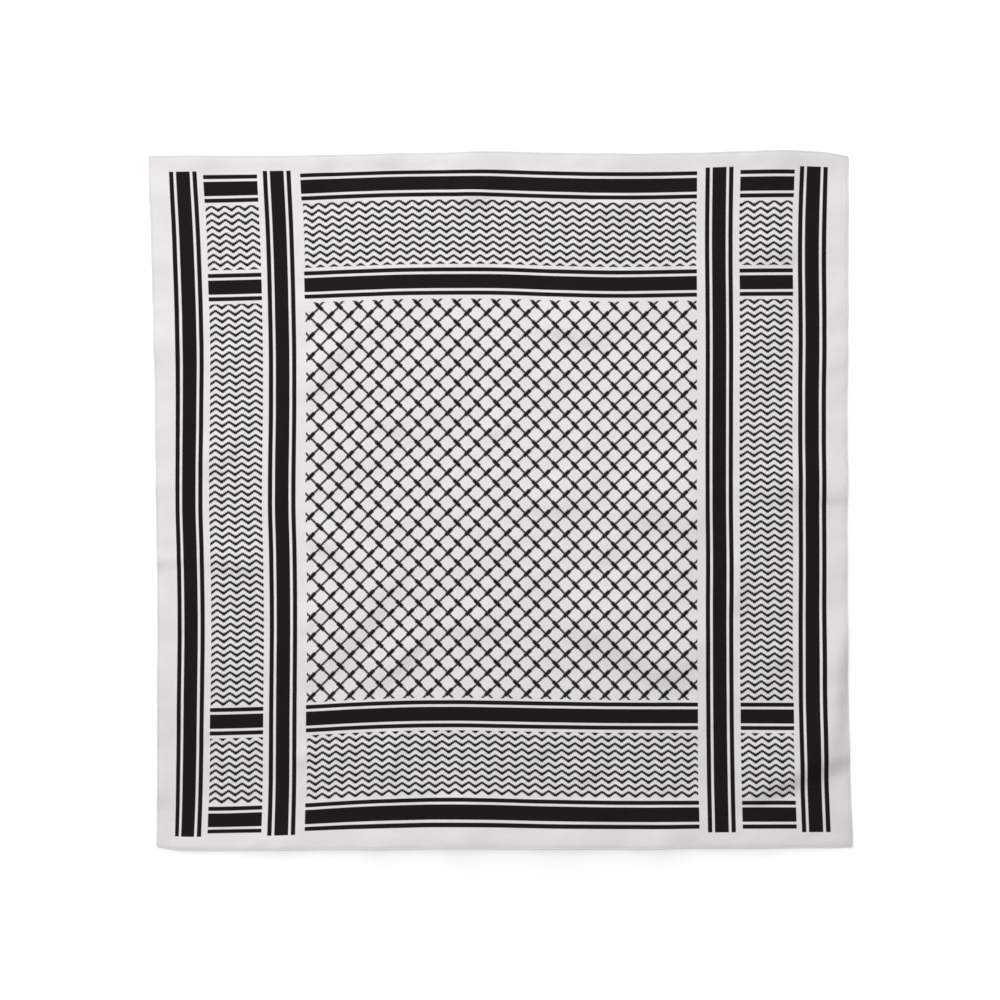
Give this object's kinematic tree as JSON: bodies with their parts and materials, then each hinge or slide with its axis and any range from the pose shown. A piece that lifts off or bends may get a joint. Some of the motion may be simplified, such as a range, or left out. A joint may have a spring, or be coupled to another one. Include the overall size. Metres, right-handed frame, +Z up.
{
  "type": "shemagh pattern bandana",
  "caption": "Square of thin printed cotton with a narrow turned hem, laid out flat: bold striped bands round a diagonal lattice, with rows of zigzags between them.",
  "frame": {"origin": "on the surface that the cloth lies on, below the middle of the cloth", "axes": "+X across the print to its right side, +Y to the head of the print, +Z up, out of the printed face"},
  "size_m": [0.5432, 0.5409, 0.0059],
  "materials": {
    "printed_cotton": "matt plain-weave cotton, off-white, printed in near-black",
    "hem_cotton": "matt plain-weave cotton, off-white, turned under and stitched"
  },
  "bodies": {
    "root": {"cloth": "printed_cotton", "hem_head": "hem_cotton", "hem_foot": "hem_cotton", "hem_left": "hem_cotton", "hem_right": "hem_cotton"}
  },
  "joints": []
}
